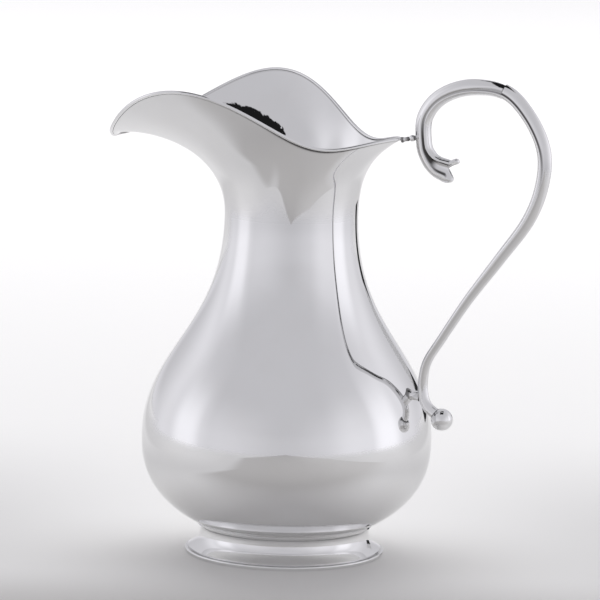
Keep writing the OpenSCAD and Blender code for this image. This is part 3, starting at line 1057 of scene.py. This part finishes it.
class PITCHER_OT_stage(Operator):
    """Lay the floor and set the light and the camera"""

    bl_idname = "pitcher.stage"
    bl_label = "Stage"

    def execute(self, context):
        scene = context.scene
        stage = scene.pitcher_stage
        scene.view_settings.view_transform = "Standard"
        ahead = Vector((math.sin(stage.azimuth), -math.cos(stage.azimuth), 0))
        right = Vector((math.cos(stage.azimuth), math.sin(stage.azimuth), 0))
        self.floor(scene, stage, ahead, right)
        self.room(scene, ahead, right)
        self.lamp(scene, stage, ahead)
        self.flag(scene, ahead, right)
        self.camera(scene, stage, ahead, right)
        return {"FINISHED"}

    def floor(self, scene, stage, ahead, right):
        """White paper under the pitcher, a grey table in front of it and a pale room beyond."""
        material, here = blank("floor")
        place = here.add("ShaderNodeTexCoord", out=3)
        x, y, _ = place.split()
        front = x * ahead.x + y * ahead.y
        side = x * right.x + y * right.y
        apart = here.maths("ABSOLUTE", side)
        away = here.maths("SQRT", front * front + side * side)

        # The table has a soft near edge, two edges on the left, cut far corners and a right edge
        near_left = side.rise(-0.17, -0.14).larger((side + front * 0.5).rise(-0.09, -0.02))
        far_left = (side - front * 0.36).rise(-0.465, -0.44)
        far_right = (side + front * 0.47).rise(0.56, 0.575)
        edges = near_left * (far_left * (1 - far_right))
        on_table = front.rise(0.05, 0.15) * edges * (1 - side.rise(0.31, 0.32))
        table = side.rise(-0.02, 0.3).mix(stage.table, stage.table_right)

        # The paper ends at the sides and in front; beyond it the room's floor grows paler
        past = (apart.rise(0.04, 0.2) * front.rise(-0.35, -0.05)).larger(front.rise(0.1, 0.2))
        past = past.larger((apart + front * 0.07).rise(0.2, 0.32))
        forward = (front / away).rise(-0.5, 0)
        sideways = (apart / away).rise(0.6, 1) * forward
        paler = away.rise(0.2, 1.4) * forward + sideways * away.rise(0.2, 0.4) * 0.4
        grain = here.add("ShaderNodeTexNoise", None, {"Vector": place, "Scale": 60, "Detail": 3})
        paper = (grain * 0.04).mix(stage.floor, (0.8, 0.8, 0.8))
        shown = on_table.mix(past.mix(paper, paler.mix(stage.room, stage.floor)), table)
        # Painted shadow: close round the foot, on its front side, the floor darkens towards the
        # table's grey
        shade = (1 - away.rise(0.06, 0.17)) * front.rise(-0.1, 0.03) * 0.45

        # Far away the floor fades into the room, except behind the pitcher, where it is white and
        # glows, a painted light that grows with distance
        fading = away.rise(0.4, 1.3) * (front / away).rise(-0.85, -0.5)
        shader = here.add("ShaderNodeBsdfPrincipled", None, {
            "Base Color": shade.mix(shown, stage.table),
            "Roughness": 0.8,
            "Alpha": (1 - fading).larger(on_table),
            "Emission Color": away.rise(0.6, 3) * (1 - forward) * 0.3,
            "Emission Strength": 1,
        })
        here.add("ShaderNodeOutputMaterial", None, {"Surface": shader})

        bm = bmesh.new()
        bmesh.ops.create_grid(bm, x_segments=8, y_segments=8, size=8)
        stage_piece(scene, bm, "floor", material)

    def room(self, scene, ahead, right):
        """A pale room with brighter walls at the sides and behind, and a dark hatch overhead."""
        world = bpy.data.worlds.new("room")
        scene.world = world
        world.use_nodes = True
        world.node_tree.nodes.clear()
        here = Value(world.node_tree)
        way = here.add("ShaderNodeTexCoord", out=0)
        x, y, z = way.split()
        across, along = x * right.x + y * right.y, x * ahead.x + y * ahead.y
        flat = here.maths("SQRT", x * x + y * y + 1e-4)
        side, front = across / flat, along / flat
        left, back = -side, -front

        low_walls = side.rise(0, 0.8) * 0.12 + side.rise(0.95, 1) * 0.1
        low_walls = low_walls + left.rise(0, 0.85) * 0.11 + left.rise(0.95, 1) * 0.17
        tall_right = side.rise(0.5, 0.85) * 0.1 + side.rise(0.95, 1) * 0.12
        tall_left = left.rise(0.9, 1) * 0.09
        glow = low_walls * (1 - z.rise(0.2, 0.68)) + (1 - z.rise(0.1, 0.28)) * 0.03
        glow = glow + tall_right * (1 - z.rise(0.38, 0.9)) + tall_left * (1 - z.rise(0.4, 0.85))
        behind = back.rise(0.05, 0.45)
        back_wall = (0.23 - back.rise(0.45, 0.85) * 0.15) * (1 - z.rise(0.5, 0.9))
        glow = glow * (1 - behind) + behind * back_wall
        glow = glow + back.rise(0.6, 0.9) * (1 - z.rise(0, 0.14)) * 0.18

        ragged = here.add("ShaderNodeTexNoise", None, {"Vector": way, "Scale": 15, "Detail": 3})
        edge = across + along.rise(0.12, 0.3) * 0.05 + (ragged - 0.5) * 0.16
        hatch = edge.rise(-0.25, -0.238) * (1 - across.rise(0.22, 0.24)) * z.rise(0.5, 0.6)
        hatch = hatch * along.rise(-0.34, -0.32) * (1 - along.rise(0.4, 0.42))
        level = (glow * 1.08 + 0.59) * (1 - hatch * 0.98) * (1 - (-z).rise(0, 0.2) * 0.12)
        cool = {0: level * 0.993, 1: level * 0.985, 2: level * 1.035}
        tint = here.add("ShaderNodeCombineColor", None, cool)
        shader = here.add("ShaderNodeBackground", None, {"Color": tint, "Strength": 1})
        here.add("ShaderNodeOutputWorld", None, {"Surface": shader})

    def lamp(self, scene, stage, ahead):
        """One large soft lamp above and behind, so that the shadow falls to the front."""
        light = bpy.data.lights.new("softbox", "AREA")
        light.shape = "RECTANGLE"
        light.size, light.size_y = 3, 2
        light.energy = stage.lamp_power
        lamp = bpy.data.objects.new("softbox", light)
        lamp.visible_glossy = False
        place = Vector((0, 0, 1.9)) - 1.4 * ahead
        lamp.matrix_world = facing(place, unit(place - Vector((0, 0, 0.1))))
        scene.collection.objects.link(lamp)

    def flag(self, scene, ahead, right):
        """A narrow card behind on the right, black below, that draws the neck's dark edge."""
        material, here = blank("flag")
        place = here.add("ShaderNodeTexCoord", out=3)
        _, _, height = place.split()
        nap = here.add("ShaderNodeTexNoise", None, {"Vector": place, "Scale": 400})
        black = nap.mix((0.01, 0.01, 0.01), (0.03, 0.03, 0.03))
        shown = height.rise(0.155, 0.175).mix(black, (0.75, 0.75, 0.75))
        shader = here.add("ShaderNodeBsdfPrincipled", None, {"Base Color": shown, "Roughness": 0.9})
        here.add("ShaderNodeOutputMaterial", None, {"Surface": shader})

        bm = bmesh.new()
        bmesh.ops.create_grid(bm, x_segments=1, y_segments=1, size=0.5)
        bmesh.ops.scale(bm, vec=(0.15, 0.32, 1), verts=bm.verts[:])
        stand = Vector((0, 0, 0.16)) - 0.75 * ahead + 0.49 * right
        inward = unit(Vector((-stand.x, -stand.y, 0)))
        bmesh.ops.transform(bm, matrix=facing(stand, inward), verts=bm.verts[:])
        card = stage_piece(scene, bm, "flag", material)
        card.visible_camera = False
        card.visible_shadow = False
        card.visible_diffuse = False

    def camera(self, scene, stage, ahead, right):
        """The camera of the photograph's view."""
        back = ahead * math.cos(stage.elevation) + Vector((0, 0, math.sin(stage.elevation)))
        up = back.cross(right)
        across = right * math.cos(stage.roll) + up * math.sin(stage.roll)
        upward = up * math.cos(stage.roll) - right * math.sin(stage.roll)
        turn = Matrix((across, upward, back)).transposed().to_4x4()
        place = Vector((0, 0, stage.target_h)) + right * stage.target_side + back * stage.distance
        data = bpy.data.cameras.new("camera")
        data.lens = stage.lens
        data.sensor_width = 36
        data.clip_end = 100
        camera = bpy.data.objects.new("camera", data)
        camera.matrix_world = Matrix.Translation(place) @ turn
        scene.collection.objects.link(camera)
        scene.camera = camera


OPERATORS = (
    PITCHER_OT_bowl,
    PITCHER_OT_mouth,
    PITCHER_OT_rim_wire,
    PITCHER_OT_foot,
    PITCHER_OT_handle,
    PITCHER_OT_joins,
    PITCHER_OT_stage,
)


class PITCHER_PT_panel(Panel):
    """The pitcher's pieces and stage"""

    bl_label = "Silver Water Pitcher"
    bl_space_type = "VIEW_3D"
    bl_region_type = "UI"
    bl_category = "Pitcher"

    def draw(self, context):
        for operator in OPERATORS:
            self.layout.operator(operator.bl_idname)


GROUPS = {
    "pitcher_foot": PitcherFoot,
    "pitcher_bowl": PitcherBowl,
    "pitcher_mouth": PitcherMouth,
    "pitcher_handle": PitcherHandle,
    "pitcher_finish": PitcherFinish,
    "pitcher_stage": PitcherStage,
}
CLASSES = (*GROUPS.values(), *OPERATORS, PITCHER_PT_panel)


def register():
    for cls in CLASSES:
        bpy.utils.register_class(cls)
    for name, group in GROUPS.items():
        setattr(bpy.types.Scene, name, PointerProperty(type=group))


def unregister():
    for name in GROUPS:
        delattr(bpy.types.Scene, name)
    for cls in reversed(CLASSES):
        bpy.utils.unregister_class(cls)


def main():
    register()
    bpy.ops.pitcher.bowl()
    bpy.ops.pitcher.mouth()
    bpy.ops.pitcher.rim_wire()
    bpy.ops.pitcher.foot()
    bpy.ops.pitcher.handle()
    bpy.ops.pitcher.joins()
    bpy.ops.pitcher.stage()


if __name__ == "__main__":
    main()
